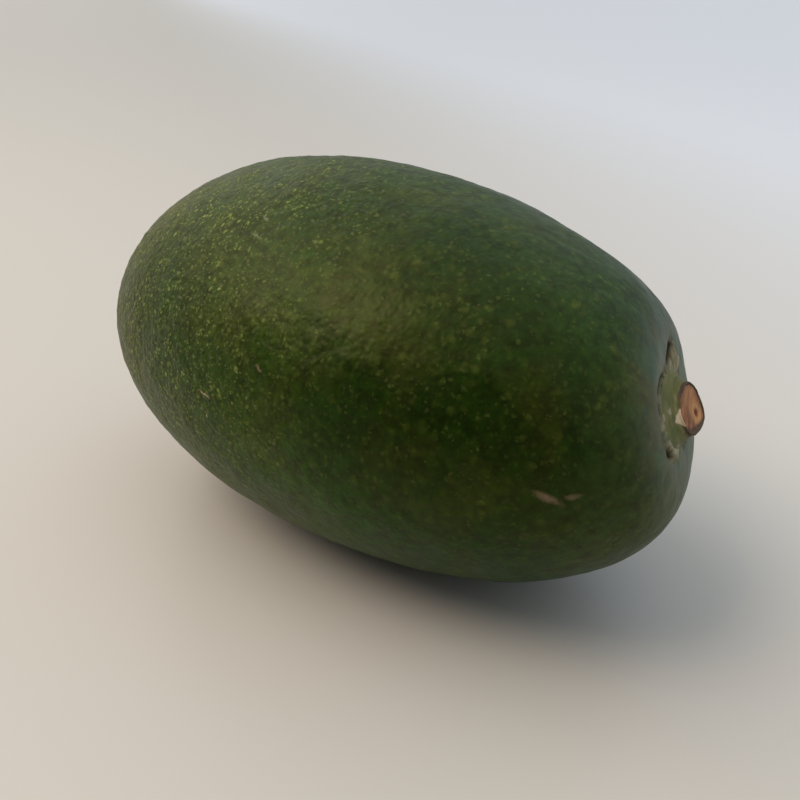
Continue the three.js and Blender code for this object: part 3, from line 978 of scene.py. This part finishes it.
floor_mesh = bpy.data.meshes.new("floor")
corners = [(-FLOOR_REACH, -FLOOR_REACH, 0), (FLOOR_REACH, -FLOOR_REACH, 0),
           (FLOOR_REACH, FLOOR_REACH, 0), (-FLOOR_REACH, FLOOR_REACH, 0)]
floor_mesh.from_pydata(corners, [], [(0, 1, 2, 3)])
floor = set_down("floor", floor_mesh)
floor.location.z = -FLOOR_DROP
floor_look = bpy.data.materials.new("pale_table_top")
floor_look.use_nodes = True
tree = floor_look.node_tree
floor_surface = tree.nodes["Principled BSDF"]
floor_place = add(tree, "TexCoord").outputs["Object"]
distance = add(
    tree, "VectorMath", {0: floor_place, 1: TOWARDS_FAR_WALL}, operation="DOT_PRODUCT"
).outputs["Value"]
far_painted_light_share = add(
    tree, "MapRange", {"Value": distance, "From Min": 0.0, "From Max": 0.45},
    interpolation_type="SMOOTHSTEP",
).outputs["Result"]
floor_painted_light = add(
    tree, "Mix", {0: far_painted_light_share, 6: linear(FLOOR_NEAR_PAINTED_SHADE), 7: linear(FLOOR_FAR_PAINTED_LIGHT)}, data_type="RGBA"
).outputs[2]
tree.links.new(floor_painted_light, floor_surface.inputs["Base Color"])
floor_surface.inputs["Roughness"].default_value = 0.38
floor_mesh.materials.append(floor_look)

# The room's light: warm on one side and cool on the other, brighter higher up and by the left
# wall, and nearly none on the viewer's side. Seen directly, the room is a plain grey.
ROOM_WARM = "#E2D6C6"
ROOM_COOL = "#DBEAFB"
ROOM_SEEN = "#CBCACA"
TOWARDS_VIEWER = (0.09, -0.99, 0.09)
TOWARDS_LEFT_WALL = (-0.96, -0.10, 0.26)
TOWARDS_COOL_SIDE = (0.75, 0.6, 0.28)

world = bpy.data.worlds.new("pale_room")
bpy.context.scene.world = world
world.use_nodes = True
tree = world.node_tree
tree.nodes.clear()
direction = add(tree, "TexCoord").outputs["Generated"]
height = add(tree, "SeparateXYZ", {"Vector": direction}).outputs["Z"]
steep = add(tree, "Math", {0: height, 1: 0.0}, operation="MAXIMUM").outputs[0]
by_height = add(tree, "Math", {0: steep, 1: 0.85, 2: 0.38}, operation="MULTIPLY_ADD").outputs[0]
to_viewer = add(
    tree, "VectorMath", {0: direction, 1: TOWARDS_VIEWER}, operation="DOT_PRODUCT"
).outputs["Value"]
dimmed = add(
    tree, "MapRange",
    {"Value": to_viewer, "From Min": 0.2, "From Max": 0.85, "To Min": 1.0, "To Max": 0.03},
    interpolation_type="SMOOTHSTEP",
).outputs["Result"]
to_left = add(
    tree, "VectorMath", {0: direction, 1: TOWARDS_LEFT_WALL}, operation="DOT_PRODUCT"
).outputs["Value"]
left_wall = add(
    tree, "MapRange",
    {"Value": to_left, "From Min": 0.5, "From Max": 0.95, "To Min": 1.0, "To Max": 1.9},
    interpolation_type="SMOOTHSTEP",
).outputs["Result"]
lit = add(tree, "Math", {0: by_height, 1: left_wall}, operation="MULTIPLY").outputs[0]
room_level = add(tree, "Math", {0: lit, 1: dimmed}, operation="MULTIPLY").outputs[0]
to_cool = add(
    tree, "VectorMath", {0: direction, 1: TOWARDS_COOL_SIDE}, operation="DOT_PRODUCT"
).outputs["Value"]
cool_share = add(tree, "MapRange", {"Value": to_cool, "From Min": -0.6, "From Max": 0.8}).outputs["Result"]
room_colour = add(
    tree, "Mix", {0: cool_share, 6: linear(ROOM_WARM), 7: linear(ROOM_COOL)}, data_type="RGBA"
).outputs[2]
seen = add(tree, "LightPath").outputs["Is Camera Ray"]
level = add(tree, "Mix", {0: seen, 2: room_level, 3: 1.0}, data_type="FLOAT").outputs[0]
tint = add(tree, "Mix", {0: seen, 6: room_colour, 7: linear(ROOM_SEEN)}, data_type="RGBA").outputs[2]
background = add(tree, "Background", {"Color": tint, "Strength": level})
add(tree, "OutputWorld", {"Surface": background.outputs[0]})


def direction_from(azimuth, elevation):
    """The direction from the fruit to a place. Azimuth 0 is the -Y side, 90 the +X side."""
    turn, rise = math.radians(azimuth), math.radians(elevation)
    return Vector((math.sin(turn) * math.cos(rise), -math.cos(turn) * math.cos(rise), math.sin(rise)))


# Broad daylight, which lights but isn't reflected: its name, where it comes from in degrees
# round and up, its strength, and how wide it is in degrees.
DAYLIGHT = [("soft_key", (-65, 50), 1.2, 50), ("soft_fill", (20, 75), 0.25, 90)]
for name, stands, energy, width in DAYLIGHT:
    light = bpy.data.lights.new(name, "SUN")
    light.energy = energy
    light.angle = math.radians(width)
    holder = set_down(name, light)
    holder.rotation_euler = direction_from(*stands).to_track_quat("Z", "Y").to_euler()
    holder.visible_glossy = False

# Round lamps: name, where each stands, its width in metres, its strength and colour, and
# whether it lights things or is only reflected. They face the fruit's middle.
LAMP_WARM = "#FFE2CA"
WINDOW_COOL = "#DCE6FF"
LAMPS = [
    ("warm_ceiling", (-32, 52), 0.4, 2.1, LAMP_WARM, True),
    ("cool_window", (-41, 37), 0.3, 1.0, WINDOW_COOL, False),
]
LAMP_DISTANCE = 0.8
FRUIT_MIDDLE = Vector((0, 0, 0.036))
for name, stands, width, energy, tint, lights_things in LAMPS:
    light = bpy.data.lights.new(name, "AREA")
    light.shape = "DISK"
    light.size = width
    light.energy = energy
    light.color = linear(tint)[:3]
    holder = set_down(name, light)
    holder.location = FRUIT_MIDDLE + direction_from(*stands) * LAMP_DISTANCE
    holder.rotation_euler = direction_from(*stands).to_track_quat("Z", "Y").to_euler()
    holder.visible_diffuse = lights_things

# The camera looks down at the fruit's near side from the stem end's quarter. Its distance
# from the belly, and how far it is moved aside and lowered, are in metres.
CAMERA_AZIMUTH = math.radians(35.80)
CAMERA_ELEVATION = math.radians(28.14)
CAMERA_ROLL = math.radians(1.54)
CAMERA_DISTANCE = 0.15648
CAMERA_ASIDE = 0.006363
CAMERA_LOWER = 0.009783
FOCAL_LENGTH = 35.325

back = Vector((
    math.sin(CAMERA_AZIMUTH) * math.cos(CAMERA_ELEVATION),
    -math.cos(CAMERA_AZIMUTH) * math.cos(CAMERA_ELEVATION),
    math.sin(CAMERA_ELEVATION),
))
level_right = Vector((0, 0, 1)).cross(back).normalized()
level_up = back.cross(level_right)
right = math.cos(CAMERA_ROLL) * level_right + math.sin(CAMERA_ROLL) * level_up
up = back.cross(right)
camera = set_down("camera", bpy.data.cameras.new("camera"))
camera.data.lens = FOCAL_LENGTH
camera.data.sensor_width = 36
camera.data.clip_start = 0.005
belly = Vector(stand) / 1000
camera.matrix_world = Matrix.Translation(
    belly + back * CAMERA_DISTANCE + right * CAMERA_ASIDE - up * CAMERA_LOWER
) @ Matrix((right, up, back)).transposed().to_4x4()
bpy.context.scene.camera = camera
bpy.context.scene.view_settings.view_transform = "Standard"
